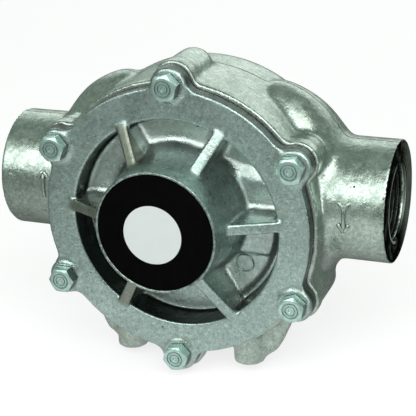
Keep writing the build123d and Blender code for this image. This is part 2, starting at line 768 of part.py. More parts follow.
def lip_seal(end, rim_y, inward, bearing_depth):
    """Writes a lip seal, its lip towards the chamber: metal case, rubber lip and garter spring."""
    inner = bearing_depth + bearing_width + cavity_length + seal_bore_length
    outer = inner - seal_width
    plate = outer + seal_case_wall

    def place(points):
        return area([(rim_y + inward * depth, radius) for depth, radius in points], along(0))

    with BuildPart() as case:
        profile = [
            (outer, seal_case_lip_radius),
            (outer, seal_outer_radius),
            (inner, seal_outer_radius),
            (inner, seal_outer_radius - seal_case_wall),
            (plate, seal_outer_radius - seal_case_wall),
            (plate, seal_case_lip_radius),
        ]
        revolve(place(profile), axis=Axis.Y)
    save(case, f"{end}_seal_case")
    touch = bearing_bore_radius + seal_lip_clearance
    root = seal_case_lip_radius
    spring_depth = inner - seal_lip_contact - garter_radius
    spring_radius = touch + seal_lip_root + garter_radius
    with BuildPart() as lip:
        profile = [
            (outer, touch + seal_lip_root),
            (outer, root),
            (plate, root),
            (plate, root + seal_lip_root),
            (plate + seal_lip_root, root + seal_lip_root),
            (inner - seal_lip_contact / 2, spring_radius),
            (inner - seal_lip_contact / 2, touch + seal_lip_root / 2),
            (inner - seal_lip_contact, touch),
            (inner - 2 * seal_lip_contact, touch),
            (plate + seal_lip_root, touch + seal_lip_root),
        ]
        revolve(place(profile), axis=Axis.Y)
        with BuildSketch(along(0)) as groove:
            with Locations((rim_y + inward * spring_depth, spring_radius)):
                Circle(garter_radius)
        revolve(groove.sketch, axis=Axis.Y, mode=Mode.SUBTRACT)
    save(lip, f"{end}_seal_lip")
    with BuildPart() as spring:
        with BuildSketch(along(0)) as wire:
            with Locations((rim_y + inward * spring_depth, spring_radius)):
                Circle(garter_radius)
        revolve(wire.sketch, axis=Axis.Y)
    save(spring, f"{end}_seal_spring")


lip_seal("front", front_rim_y, 1, front_bearing_depth)
lip_seal("rear", 0, -1, rear_bearing_depth)

# Rubber slinger on the output shaft, at the mouth of the rear hub
with BuildPart() as shaft_slinger:
    disc(slinger_hub_front, slinger_hub_rear, slinger_hub_radius, bearing_bore_radius)
    disc(slinger_plate_front, slinger_plate_rear, slinger_plate_radius, bearing_bore_radius)
save(shaft_slinger, "shaft_slinger")
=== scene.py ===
import json
from math import cos, pi, radians, sin, tan, tau

import bpy
import numpy as np
from mathutils import Matrix, Vector


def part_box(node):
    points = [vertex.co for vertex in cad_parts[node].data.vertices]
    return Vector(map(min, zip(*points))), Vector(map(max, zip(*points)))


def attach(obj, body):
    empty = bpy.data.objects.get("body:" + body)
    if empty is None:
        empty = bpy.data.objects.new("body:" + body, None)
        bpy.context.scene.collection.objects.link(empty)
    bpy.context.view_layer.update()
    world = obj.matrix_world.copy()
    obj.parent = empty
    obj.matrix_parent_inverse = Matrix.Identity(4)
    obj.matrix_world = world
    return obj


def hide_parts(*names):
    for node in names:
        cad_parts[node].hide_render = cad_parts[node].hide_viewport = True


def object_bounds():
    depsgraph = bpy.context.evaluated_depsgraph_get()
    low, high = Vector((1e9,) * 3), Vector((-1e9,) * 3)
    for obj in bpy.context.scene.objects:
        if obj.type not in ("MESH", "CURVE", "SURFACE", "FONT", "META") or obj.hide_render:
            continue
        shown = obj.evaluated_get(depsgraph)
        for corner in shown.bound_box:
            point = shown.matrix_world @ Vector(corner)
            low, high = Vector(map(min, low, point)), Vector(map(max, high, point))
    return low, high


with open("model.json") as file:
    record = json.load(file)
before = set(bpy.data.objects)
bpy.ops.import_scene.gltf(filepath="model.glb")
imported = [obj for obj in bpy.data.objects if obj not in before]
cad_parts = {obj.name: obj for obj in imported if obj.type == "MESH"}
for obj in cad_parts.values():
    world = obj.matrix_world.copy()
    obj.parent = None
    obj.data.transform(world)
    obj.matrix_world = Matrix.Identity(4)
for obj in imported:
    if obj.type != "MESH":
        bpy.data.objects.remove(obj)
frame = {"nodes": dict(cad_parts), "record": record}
cad_low, cad_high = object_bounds()

# Roller pump, in metres, in the frame of the model: +Y along the drive shaft, +X to the inlet, +Z up.
# The end cover faces -Y. Angles round the shaft are counted from the top, clockwise seen from the cover.
# Tones are linear RGB.
mm = 0.001

# Places and sizes read from the frame
bolts_low, bolts_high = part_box("cover_bolts")
cap_low, cap_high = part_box("hub_cap")
label_low, label_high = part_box("cap_label")
rotor_low, rotor_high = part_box("rotor")
ring_low, ring_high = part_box("cover_o_ring")
rim_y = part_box("end_cover")[0].y
port_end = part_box("pump_body")[1].x
port_y = (rotor_low.y + rotor_high.y) / 2
chamber_z = (ring_low.z + ring_high.z) / 2

# Sizes of the castings that the finish needs
split_y = -108.0 * mm
flange_face_y = -115.4 * mm
recess_floor_y = -100.0 * mm
recess_wall_radius = 55.6 * mm
hub_root_radius = 33.0 * mm
chamber_rear_y = -49.0 * mm
port_z = 2.0 * mm
port_boss_radius = 32.4 * mm
port_mouth_radius = 22.0 * mm
port_thread_length = 26.0 * mm
port_chamfer = 1.9 * mm
hub_cap_radius = 31.0 * mm
hub_bore_radius = 28.5 * mm
chamber_radius = 62.0 * mm
channel_radius = 70.0 * mm
channel_half_width = 14.0 * mm
foot_low_z = -85.7 * mm
rear_face_band = 1.5 * mm

# Meshing of the castings
body_voxel = 0.9 * mm
cover_voxel = 0.6 * mm
port_end_sink = 0.25 * mm
chamber_set_back = 0.7 * mm
chamber_wall_reach = 1.3 * mm
chamber_rear_reach = 0.6 * mm

# How freely a surface moves as the casting is rounded: 0 is held and 1 is free
port_end_freedom = 0.12
rear_face_freedom = 0.15
foot_freedom = 0.3
joint_face_freedom = 0.4
flange_back_freedom = 0.3
hub_rim_freedom = 0.1

# Steps of the recess floor, in mm: height as a share of the rise, slope, and straight edges (x, z) to (x, z)
# with the step on the left of each edge as seen from the front
terrace_rise = 3.3
terraces = (
    (1.4, 3.0, (((-30.0, 52.0), (0.0, 0.0)), ((0.0, 0.0), (30.0, 52.0)))),
    (1.0, 0.55, (((42.7, 17.4), (30.2, 20.1)), ((30.0, 0.0), (60.0, 0.0)))),
    (1.0, 3.0, (((29.1, -21.4), (46.0, -21.4)), ((60.0, 0.0), (30.0, 0.0)))),
    (0.58, 1.0, (((60.0, -10.0), (30.0, -10.0)), ((0.0, 0.0), (30.0, -52.0)))),
)
ramp_stretch = 1.4
low_step_radius = 53.2 * mm
low_ramp = 3.0 * mm
low_step_z = -1.0 * mm
floor_highest = 12.0 * mm
floor_step_highest = 4.3 * mm
hub_foot_radius = 35.5 * mm
hub_foot_round = 5.0 * mm
foot_margin = 0.3 * mm

# Ribs of the cover
rib_half_width = 2.3 * mm
rib_swell = 0.75 * mm
rib_swell_reach = 8.0 * mm
rib_foot_round = 4.5 * mm
rib_outer_end = 63.0 * mm
rib_behind_rim = 6.0 * mm

# Plain round mould mark in the recess
mark_angle = radians(130.0)
mark_distance = 44.0 * mm
mark_segments = 64

# Its section, as height above the floor and radius in mm
mark_profile = ((-0.8, 5.2), (0.5, 5.2), (1.1, 4.9), (1.1, 4.5), (0.5, 4.25), (-0.8, 4.2))

# Hex bolts, and how far each head is turned, in degrees, from the top one on
bolt_circle_radius = 74.55 * mm
bolt_radius = 3.97 * mm
bolt_segments = 96
head_flats = 12.7 * mm
head_height = 6.1 * mm
head_washer_height = 0.5 * mm
head_washer_radius = 6.3 * mm
head_top_radius = 5.75 * mm
head_chamfer = radians(30)
head_under_chamfer = 0.15
head_turns = (15.0, 10.0, 20.0, 12.0, 0.0, 8.0)

# Rings pressed into the top of a head, as radius and depth in mm
head_rings = (
    (4.5, 0.0),
    (4.3, 0.4),
    (3.8, 0.45),
    (3.6, 0.1),
    (3.0, 0.1),
    (2.8, 0.5),
    (2.2, 0.55),
    (2.0, 0.2),
    (1.2, 0.2),
    (1.0, 0.45),
    (0.3, 0.45),
)

# Port threads: 11.5 turns to the inch, on a taper of 1 in 16, which is half that on the radius
thread_pitch = 2.209 * mm
thread_crest = 19.35 * mm
thread_depth = 1.15 * mm
thread_taper = 1 / 32
thread_sleeve = 20.7 * mm
thread_start = 1.5 * mm
thread_end_gap = 2.0 * mm
thread_steps = 8
thread_segments = 96
port_end_segments = 160

# Flow arrows, raised on the port bosses
arrow_rise = 1.15 * mm
arrow_sunk = 0.8 * mm
arrow_edge = 0.3 * mm
arrow_shoulder = 0.7
arrow_end_share = 0.55
arrow_stroke = 1.9 * mm
arrow_head = 4.2 * mm
arrow_overlap = 0.8 * mm
arrow_fletch_back = 0.3
arrow_fletch_ahead = 0.5
arrow_steps = 6

# Name, place along X, angles of tail and tip up from the front in degrees, half the head's width, and
# whether it is fletched
flow_arrows = (
    ("inlet_arrow", 86.5 * mm, 13.5, -12.2, 3.0 * mm, True),
    ("outlet_arrow", -81.5 * mm, -9.7, 16.8, 3.6 * mm, False),
)

# Cap and label
cap_thickness = 2.4 * mm
cap_wall = 2.5 * mm
cap_play = 0.1 * mm
cap_segments = 128
centre_hole = 0.02 * mm

# Tones of the castings, what lies on them, and their painted shade and painted light
body_light, body_dark = (0.50, 0.60, 0.53), (0.39, 0.48, 0.42)
cover_light, cover_dark = (0.46, 0.59, 0.55), (0.38, 0.49, 0.46)
stain_tone = (0.38, 0.38, 0.29)
hollow_painted_light_tone = (0.52, 0.56, 0.53)
painted_corner_shade_tone = (0.035, 0.055, 0.043)
painted_crevice_shade_tone = (0.010, 0.016, 0.012)
pit_tone = (0.02, 0.025, 0.02)
parting_tone = (0.04, 0.05, 0.04)
split_tone = (0.006, 0.008, 0.006)
painted_wall_shade_tone = (0.004, 0.006, 0.005)
rib_shade_brown_tone = (0.20, 0.19, 0.13)
rib_shade_share = 0.65
worn_rim_tone = (0.10, 0.13, 0.115)

# Sizes of the spots on the castings, how deep some are, and how far round them the painted shade of corners
# and the painted light of hollows look for walls
cloud_size = 26 * mm
stain_size = 13 * mm
pit_patch_size = 30 * mm
pit_spacing = 9 * mm
pit_depth = 0.5 * mm
dimple_size = 3.2 * mm
dimple_depth = 0.35 * mm
mottle_size = 2.4 * mm
grain_size = 0.9 * mm
grain_depth = 0.14 * mm
hollow_painted_light_reach = 16 * mm
painted_corner_shade_reach = 8 * mm
painted_crevice_shade_reach = 1.6 * mm
blotch_size = 7 * mm
wear_size = 2.5 * mm
parting_wander_size = 14 * mm
parting_break_size = 5 * mm

# Sizes of the spots and rings on the other materials, how deep some are, and how far round them their
# painted shade looks
lathe_pitch = 0.35 * mm
lathe_depth = 0.03 * mm
port_lathe_pitch = 0.6 * mm
port_lathe_depth = 0.05 * mm
scratch_size = 2.5 * mm
scratch_depth = 0.02 * mm
zinc_cloud_size = 2.2 * mm
zinc_grain_size = 0.5 * mm
zinc_grain_depth = 0.04 * mm
zinc_corner_shade_reach = 3.0 * mm
zinc_groove_shade_reach = 0.8 * mm
faint_mark_size = 6 * mm
moulded_grain_size = 0.5 * mm
moulded_grain_depth = 0.03 * mm
label_grain_size = 0.3 * mm
label_grain_depth = 0.005 * mm

# Where marks, painted shade and painted highlights lie on the castings and the ports' ends: a span runs
# from where each starts to where it is full
parting_wander = 0.9 * mm
parting_step = 0.5 * mm
parting_line_span = (0.55 * mm, 0.12 * mm)
parting_end_span = (port_end - 1.5 * mm, port_end - 2.0 * mm)
split_line_span = (split_y - 1.3 * mm, split_y - 0.9 * mm)
split_outer_span = (channel_radius, channel_radius + 1 * mm)
wall_span = (recess_wall_radius - 2.2 * mm, recess_wall_radius - 0.6 * mm)
wall_front_span = (flange_face_y + 0.5 * mm, flange_face_y + 1.3 * mm)
wall_floor_span = (recess_floor_y + 3 * mm, recess_floor_y + 2 * mm)
wall_side_span = (34 * mm, -2 * mm)
wall_side_shares = (0.78, 0.97)
wall_side_lean = 0.4
left_rib_span = (-4 * mm, -9 * mm)
rib_end_span = (60 * mm, 56 * mm)
rib_face_span = (flange_face_y + 0.2 * mm, flange_face_y - 0.6 * mm)
rib_root_span = (hub_root_radius, hub_root_radius + 1 * mm)
rim_width_span = (hub_cap_radius + 3.6 * mm, hub_cap_radius + 3.2 * mm)
rim_depth_span = (rim_y + 1.2 * mm, rim_y + 0.6 * mm)
back_reflection_span = (port_y + 2 * mm, port_y + 22 * mm)
mouth_outer_span = (port_mouth_radius + 0.4 * mm, port_mouth_radius + 0.1 * mm)
mouth_inner_span = (port_mouth_radius - 1.4 * mm, port_mouth_radius - 1.1 * mm)
mouth_front_span = (port_y - 2 * mm, port_y - 9 * mm)

# Tones of the ports' turned ends and of the bolts, with their painted shade, reflection and highlight
turned_tone = (0.012, 0.013, 0.010)
back_reflection_tone = (0.50, 0.58, 0.50)
groove_tone = (0.01, 0.01, 0.008)
mouth_highlight_tone = (0.80, 0.88, 0.82)
turned_tint = (0.10, 0.11, 0.09)
thread_shade_tint = (0.12, 0.12, 0.10)
zinc_tone = (0.52, 0.73, 0.67)
zinc_side_shade_tone = (0.03, 0.045, 0.038)
zinc_corner_shade_tone = (0.05, 0.08, 0.07)
zinc_groove_shade_tone = (0.03, 0.05, 0.045)

# Camera: where it stands and how it looks
camera_place = (249.63 * mm, -710.94 * mm, 255.32 * mm)
camera_azimuth = 21.154
camera_elevation = 21.312
camera_roll = -1.924
camera_lens = 116.56
camera_sensor = 36.0
camera_near = 10 * mm

# Floor: its paint, the glow that the camera sees, and the glow that the metal mirrors, which fades round
# a place
floor_size = 8.0
floor_tone = 0.30
floor_glow = 0.77
floor_shine = 0.66
floor_shine_place = (0.02, -0.24)
floor_shine_near = 0.08
floor_shine_far = 0.26

# World: its tone as a light, and how white the metal mirrors it
world_tone = (0.15, 0.21, 0.17)
world_shine = 0.12

# Soft lights: name, direction from the pump, distance, width, height and radiance
soft_lights = (
    ("key", (-0.32, -0.77, 0.48), 1.3, 0.88, 0.75, 3.2),
    ("back", (-0.05, 0.83, 0.50), 1.5, 2.4, 0.9, 1.15),
    ("side", (0.85, -0.55, 0.10), 1.3, 0.7, 0.9, 1.7),
    ("right", (0.40, -0.58, 0.72), 1.3, 1.1, 0.9, 3.3),
)


class Shader:
    """A material that is built up node by node on its Principled shader."""

    def __init__(self, name):
        self.material = bpy.data.materials.new(name)
        self.material.use_nodes = True
        self.tree = self.material.node_tree
        self.surface = self.tree.nodes["Principled BSDF"]
        texture_place = self.add("ShaderNodeTexCoord")
        self.place = texture_place.outputs["Object"]
        self.normal = texture_place.outputs["Normal"]

    def add(self, kind, **settings):
        node = self.tree.nodes.new(kind)
        for setting, value in settings.items():
            setattr(node, setting, value)
        return node

    def put(self, socket, value):
        """Links a socket, or sets it to a plain value."""
        if isinstance(value, bpy.types.NodeSocket):
            self.tree.links.new(value, socket)
        elif isinstance(value, tuple) and len(value) == 3 and socket.type == "RGBA":
            socket.default_value = (*value, 1.0)
        else:
            socket.default_value = value

    def set(self, **values):
        """Links or sets the Principled shader's own sockets."""
        for name, value in values.items():
            self.put(self.surface.inputs[name.replace("_", " ")], value)

    def noise(self, grain, detail=3.0, roughness=0.5, offset=0.0):
        """Noise whose spots are about one grain across. Most of it lies between 0.3 and 0.7."""
        mapping = self.add("ShaderNodeMapping")
        self.put(mapping.inputs["Vector"], self.place)
        mapping.inputs["Location"].default_value = (offset, offset, offset)
        texture = self.add("ShaderNodeTexNoise")
        self.put(texture.inputs["Vector"], mapping.outputs["Vector"])
        texture.inputs["Scale"].default_value = 1 / grain
        texture.inputs["Detail"].default_value = detail
        texture.inputs["Roughness"].default_value = roughness
        return texture.outputs["Fac"]

    def rings(self, value, pitch):
        """Noise along one value, for the marks of a lathe."""
        texture = self.add("ShaderNodeTexNoise", noise_dimensions="1D")
        self.put(texture.inputs["W"], value)
        texture.inputs["Scale"].default_value = 1 / pitch
        return texture.outputs["Fac"]

    def cells(self, grain):
        """Distance to the middle of the nearest cell."""
        texture = self.add("ShaderNodeTexVoronoi")
        self.put(texture.inputs["Vector"], self.place)
        texture.inputs["Scale"].default_value = 1 / grain
        return texture.outputs["Distance"]

    def math(self, operation, first, second=0.0):
        node = self.add("ShaderNodeMath", operation=operation)
        self.put(node.inputs[0], first)
        self.put(node.inputs[1], second)
        return node.outputs[0]

    def both(self, first, second):
        return self.math("MULTIPLY", first, second)

    def band(self, value, start, end, low=0.0, high=1.0):
        """Value from start to end becomes low to high, eased at both ends."""
        node = self.add("ShaderNodeMapRange", interpolation_type="SMOOTHSTEP")
        self.put(node.inputs["Value"], value)
        node.inputs["From Min"].default_value = start
        node.inputs["From Max"].default_value = end
        node.inputs["To Min"].default_value = low
        node.inputs["To Max"].default_value = high
        return node.outputs["Result"]

    def mix(self, amount, first, second):
        node = self.add("ShaderNodeMix", data_type="RGBA")
        self.put(node.inputs[0], amount)
        self.put(node.inputs[6], first)
        self.put(node.inputs[7], second)
        return node.outputs[2]

    def part_of(self, vector, name):
        """One of a vector's three parts."""
        split = self.add("ShaderNodeSeparateXYZ")
        self.put(split.inputs[0], vector)
        return split.outputs[name]

    def axis(self, name):
        """Place along one axis."""
        return self.part_of(self.place, name)

    def radius(self, first, first_centre, second, second_centre):
        """Distance from a line along the third axis."""
        one = self.math("POWER", self.math("SUBTRACT", self.axis(first), first_centre), 2.0)
        two = self.math("POWER", self.math("SUBTRACT", self.axis(second), second_centre), 2.0)
        return self.math("SQRT", self.math("ADD", one, two))

    def open_sky(self, distance):
        """1 on open surfaces, less in corners and recesses."""
        node = self.add("ShaderNodeAmbientOcclusion", samples=6)
        node.inputs["Distance"].default_value = distance
        return node.outputs["AO"]

    def bump(self, height, distance, strength=1.0, below=None):
        node = self.add("ShaderNodeBump")
        self.put(node.inputs["Height"], height)
        node.inputs["Distance"].default_value = distance
        node.inputs["Strength"].default_value = strength
        if below is not None:
            self.put(node.inputs["Normal"], below)
        return node.outputs["Normal"]


def scaled(tone, share):
    return tuple(share * c for c in tone)


def parting_line(shader, tone, relief):
    """The mould's parting line round the ports and the body: a wandering dark line with a small step."""
    wander = shader.noise(parting_wander_size, 2.0)
    wander = shader.band(wander, 0.0, 1.0, -parting_wander, parting_wander)
    away = shader.math("SUBTRACT", shader.math("ADD", shader.axis("Y"), wander), port_y)
    line = shader.band(shader.math("ABSOLUTE", away), *parting_line_span)
    gaps = shader.band(shader.noise(parting_break_size, 2.0), 0.36, 0.5, 0.35, 0.9)
    cast_part = shader.band(shader.math("ABSOLUTE", shader.axis("X")), *parting_end_span)
    tone = shader.mix(shader.both(shader.both(line, gaps), cast_part), tone, parting_tone)
    return tone, shader.bump(shader.band(away, -parting_step, parting_step), parting_step, 0.8, relief)


def split_line(shader, tone):
    """The dark broken line where the cover's edge meets the body."""
    line = shader.band(shader.axis("Y"), *split_line_span)
    outer = shader.band(shader.radius("X", 0.0, "Z", chamber_z), *split_outer_span)
    gaps = shader.band(shader.noise(blotch_size, 3.0), 0.42, 0.50)
    return shader.mix(shader.both(shader.both(line, outer), gaps), tone, split_tone)


def recess_shade(shader, tone):
    """Paints black shade on the recess wall, most at the left and bottom, and brown shade on the left ribs'
    fronts; wears the hub's rim.
    """
    from_middle = shader.radius("X", 0.0, "Z", chamber_z)
    from_shaft = shader.radius("X", 0.0, "Z", 0.0)
    depth = shader.axis("Y")
    # Painted shade: the wall between the flange face and the floor goes black, most at the left and bottom
    wall = shader.band(from_middle, *wall_span)
    lean = shader.math("ADD", shader.axis("X"), shader.both(shader.axis("Z"), wall_side_lean))
    wall = shader.both(wall, shader.band(lean, *wall_side_span, *wall_side_shares))
    level = shader.both(shader.band(depth, *wall_front_span), shader.band(depth, *wall_floor_span))
    wall = shader.both(wall, level)
    tone = shader.mix(wall, tone, painted_wall_shade_tone)

    # Painted shade: the front faces of the ribs at the left are browned and darkened
    ribs = shader.both(shader.band(from_middle, *rib_end_span), shader.band(depth, *rib_face_span))
    ribs = shader.both(ribs, shader.band(shader.axis("X"), *left_rib_span))
    painted_rib_shade = shader.both(ribs, shader.band(from_shaft, *rib_root_span))
    tone = shader.mix(shader.both(painted_rib_shade, rib_shade_share), tone, rib_shade_brown_tone)

    rim = shader.both(shader.band(from_shaft, *rim_width_span), shader.band(depth, *rim_depth_span))
    worn = shader.band(shader.noise(wear_size, 4.0, 0.7), 0.4, 0.6, 0.1, 0.75)
    return shader.mix(shader.both(rim, worn), tone, worn_rim_tone)


def cast_metal(name, light, dark, gloss=0.25, coarse=1.0, extra=None):
    """Bare cast metal: cloudy and mottled, with stains, grain, soft dimples and a few pits, painted shade in
    corners and creases, and painted light in hollows.
    """
    shader = Shader(name)
    clouds = shader.band(shader.noise(cloud_size, 4.0, 0.6), 0.35, 0.68)
    tone = shader.mix(clouds, dark, light)
    mottle = shader.noise(mottle_size, 4.0, 0.7, offset=0.3)
    tone = shader.mix(shader.band(mottle, 0.50, 0.70, 0.0, 0.7), tone, scaled(light, 1.4))
    tone = shader.mix(shader.band(mottle, 0.48, 0.30, 0.0, 0.6), tone, scaled(dark, 0.5))
    stain = shader.band(shader.noise(stain_size, 4.0, 0.7, offset=0.7), 0.54, 0.70, 0.0, 0.35)
    tone = shader.mix(stain, tone, stain_tone)
    grain = shader.noise(grain_size, 3.0, 0.65)
    tone = shader.mix(shader.band(grain, 0.62, 0.36, 0.0, 0.40), tone, scaled(dark, 0.40))
    # Painted light: hollows are shifted to a lighter, more neutral grey, standing in for bounce light in
    # them
    hollow_painted_light = shader.band(shader.open_sky(hollow_painted_light_reach), 0.85, 0.35, 0.0, 0.75)
    tone = shader.mix(hollow_painted_light, tone, hollow_painted_light_tone)
    # Painted shade: corners and recesses are darkened by how enclosed they are
    painted_shade = shader.band(shader.open_sky(painted_corner_shade_reach), 0.5, 0.12, 0.0, 0.2)
    tone = shader.mix(painted_shade, tone, painted_corner_shade_tone)
    # Painted shade: narrow creases and gaps go nearly black
    painted_crevice_shade = shader.band(shader.open_sky(painted_crevice_shade_reach), 0.62, 0.3, 0.0, 0.85)
    tone = shader.mix(painted_crevice_shade, tone, painted_crevice_shade_tone)
    pits = shader.band(shader.cells(pit_spacing), 0.075, 0.03)
    pits = shader.both(pits, shader.band(shader.noise(pit_patch_size, 1.0), 0.56, 0.62))
    tone = shader.mix(pits, tone, pit_tone)
    relief = shader.bump(shader.noise(dimple_size, 2.0, 0.45), dimple_depth, 0.6)
    relief = shader.bump(grain, coarse * grain_depth, 0.7, relief)
    relief = shader.bump(shader.math("SUBTRACT", 1.0, pits), pit_depth, 0.7, relief)
    if extra == "ports":
        tone, relief = parting_line(shader, tone, relief)
    if extra == "recess":
        tone = split_line(shader, recess_shade(shader, tone))
    roughness = shader.band(shader.noise(blotch_size, 3.0), 0.3, 0.7, gloss - 0.05, gloss + 0.10)
    shader.set(Base_Color=tone, Metallic=0.92, Roughness=roughness, Normal=relief)
    return shader.material


def turned_end(name):
    """A port's machined end: black with fine rings, a painted reflection that greys it at the back, and a
    painted highlight on the front of its mouth's edge.
    """
    shader = Shader(name)
    from_middle = shader.radius("Y", port_y, "Z", port_z)
    rings = shader.rings(from_middle, port_lathe_pitch)
    blotches = shader.noise(blotch_size, 4.0, 0.6)
    # Painted reflection: the back of the face is greyer while the front stays black
    painted_reflection = shader.band(shader.axis("Y"), *back_reflection_span, 0.0, 0.9)
    stain = shader.both(shader.band(blotches, 0.5, 0.68), 0.35)
    tone = shader.mix(shader.math("MAXIMUM", painted_reflection, stain), turned_tone, back_reflection_tone)
    # Painted highlight: a light line on the front of the mouth's edge
    front = shader.band(shader.axis("Y"), *mouth_front_span)
    painted_highlight = shader.both(shader.band(from_middle, *mouth_outer_span), front)
    painted_highlight = shader.both(painted_highlight, shader.band(from_middle, *mouth_inner_span))
    tone = shader.mix(shader.band(rings, 0.4, 0.7), tone, groove_tone)
    shader.set(
        Base_Color=shader.mix(painted_highlight, tone, mouth_highlight_tone),
        Metallic=1.0,
        Roughness=shader.band(blotches, 0.3, 0.7, 0.38, 0.55),
        Specular_Tint=turned_tint,
        Normal=shader.bump(rings, port_lathe_depth, 0.6),
    )
    return shader.material


def machined_metal(name, colour, axis="Y", roughness=0.28, tint=(1.0, 1.0, 1.0)):
    """Turned metal: fine rings along an axis, with light scratches."""
    shader = Shader(name)
    rings = shader.rings(shader.axis(axis), lathe_pitch)
    scratches = shader.noise(scratch_size, 4.0, 0.7)
    relief = shader.bump(rings, lathe_depth, 0.5)
    shader.set(
        Base_Color=shader.mix(shader.band(scratches, 0.4, 0.75), colour, scaled(colour, 0.6)),
        Metallic=1.0,
        Roughness=shader.band(scratches, 0.3, 0.8, roughness - 0.05, roughness + 0.15),
        Specular_Tint=tint,
        Normal=shader.bump(scratches, scratch_depth, 0.4, relief),
    )
    return shader.material


def zinc_plate(name, colour):
    """Pale zinc plate: cloudy and softly bright, with painted shade in corners and grooves and on flats that
    face right and down.
    """
    shader = Shader(name)
    clouds = shader.noise(zinc_cloud_size, 3.0, 0.6)
    tone = shader.mix(shader.band(clouds, 0.38, 0.7), colour, scaled(colour, 0.74))
    # Painted shade: flats that face right and down are darkened
    down = shader.both(shader.part_of(shader.normal, "Z"), 0.35)
    lean = shader.math("SUBTRACT", shader.part_of(shader.normal, "X"), down)
    tone = shader.mix(shader.band(lean, 0.35, 0.75, 0.0, 0.85), tone, zinc_side_shade_tone)
    # Painted shade: corners near the flange and the grooves in the head are darkened
    painted_shade = shader.band(shader.open_sky(zinc_corner_shade_reach), 0.75, 0.3, 0.0, 0.6)
    tone = shader.mix(painted_shade, tone, zinc_corner_shade_tone)
    groove_shade = shader.band(shader.open_sky(zinc_groove_shade_reach), 0.9, 0.55, 0.0, 0.85)
    shader.set(
        Base_Color=shader.mix(groove_shade, tone, zinc_groove_shade_tone),
        Metallic=0.85,
        Roughness=shader.band(clouds, 0.3, 0.7, 0.24, 0.4),
        Coat_Weight=0.3,
        Coat_Roughness=0.18,
        Normal=shader.bump(shader.noise(zinc_grain_size, 2.0), zinc_grain_depth, 0.5),
    )
    return shader.material


def moulded(
    name, colour, roughness, grain=moulded_grain_size, depth=moulded_grain_depth, marked=0.82, shine=0.4
):
    """Rubber, plastic or paper: dull, with a fine grain and faint marks."""
    shader = Shader(name)
    marks = shader.noise(faint_mark_size, 4.0, 0.6)
    shader.set(
        Base_Color=shader.mix(shader.band(marks, 0.35, 0.75), colour, scaled(colour, marked)),
        Roughness=shader.band(marks, 0.3, 0.7, roughness - 0.06, roughness + 0.08),
        Specular_IOR_Level=shine,
        Normal=shader.bump(shader.noise(grain, 2.0), depth, 0.6),
    )
    return shader.material


def slot_materials():
    """A material for each slot of the record."""
    label = moulded("label_white", (0.78, 0.82, 0.81), 0.6, label_grain_size, label_grain_depth, 0.98)
    return {
        "body_casting": cast_metal("cast_body", body_light, body_dark, 0.26, extra="ports"),
        "cover_casting": cast_metal("cast_cover", cover_light, cover_dark, 0.28, 1.5, "recess"),
        "zinc_plate": zinc_plate("zinc_plate", zinc_tone),
        "seal_rubber": moulded("seal_rubber", (0.015, 0.015, 0.016), 0.6),
        "cap_black": moulded("cap_black", (0.0012, 0.0012, 0.0012), 0.8, shine=0.04),
        "label_white": label,
        "shaft_steel": machined_metal("shaft_steel", (0.55, 0.56, 0.56)),
        "rotor_iron": cast_metal("rotor_iron", (0.30, 0.30, 0.29), (0.22, 0.22, 0.22)),
        "black_steel": moulded("black_steel", (0.03, 0.03, 0.032), 0.4),
        "roller_plastic": moulded("roller_plastic", (0.75, 0.74, 0.68), 0.4),
        "bearing_steel": machined_metal("bearing_steel", (0.62, 0.63, 0.64)),
        "bearing_balls": machined_metal("bearing_balls", (0.66, 0.67, 0.68), roughness=0.12),
        "cage_steel": machined_metal("cage_steel", (0.45, 0.45, 0.44)),
        "shield_rubber": moulded("shield_rubber", (0.02, 0.02, 0.022), 0.5),
    }


def new_piece(name, mesh, material, replaced=None, smooth=35.0):
    """Links a finished mesh as a piece of the housing."""
    mesh.shade_smooth()
    mesh.set_sharp_from_angle(angle=radians(smooth))
    mesh.materials.clear()
    mesh.materials.append(material)
    piece = bpy.data.objects.new(name, mesh)
    bpy.context.scene.collection.objects.link(piece)
    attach(piece, "housing")
    if replaced:
        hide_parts(replaced)


def mesh_of(name, points, faces):
    mesh = bpy.data.meshes.new(name)
    mesh.from_pydata([tuple(p) for p in points], [], faces)
    mesh.validate()
    mesh.update()
    return mesh


def angles(count, sense=1):
    """Even angles round one turn."""
    return [tau * sense * k / count for k in range(count)]


def skin(rings, closed_ends=False, looped=False):
    """Points and quads of a tube through rings of as many points each."""
    count = len(rings[0])
    points = [p for ring in rings for p in ring]
    faces = []
    last = len(rings) if looped else len(rings) - 1
    for row in range(last):
        here, there = row * count, (row + 1) % len(rings) * count
        for k in range(count):
            after = (k + 1) % count
            faces.append((here + k, here + after, there + after, there + k))
    if closed_ends:
        faces.append(tuple(range(count))[::-1])
        faces.append(tuple(range(len(points) - count, len(points))))
    return points, faces


def turned(name, profile, centre=(0.0, 0.0), segments=cap_segments):
    """A closed ring turned round an axis along Y; the profile is a loop of (y, radius)."""
    rings = []
    for y, radius in profile:
        ring = [(centre[0] + radius * sin(a), y, centre[1] + radius * cos(a)) for a in angles(segments)]
        rings.append(ring)
    points, faces = skin(rings, looped=True)
    return mesh_of(name, points, faces)


def remeshed(original, voxel):
    """A new mesh of the same shape, in even quads of about one voxel."""
    source = bpy.data.objects.new("casting_copy", original)
    bpy.context.scene.collection.objects.link(source)
    modifier = source.modifiers.new("even", "REMESH")
    modifier.mode = "VOXEL"
    modifier.voxel_size = voxel
    view = bpy.context.evaluated_depsgraph_get()
    mesh = bpy.data.meshes.new_from_object(source.evaluated_get(view))
    bpy.data.objects.remove(source)
    return mesh


def vectors_of(mesh, name):
    """The vertices' places or normals."""
    values = np.empty(len(mesh.vertices) * 3)
    mesh.vertices.foreach_get(name, values)
    return values.reshape(-1, 3)


def move_points(mesh, co):
    mesh.vertices.foreach_set("co", co.ravel())
    mesh.update()


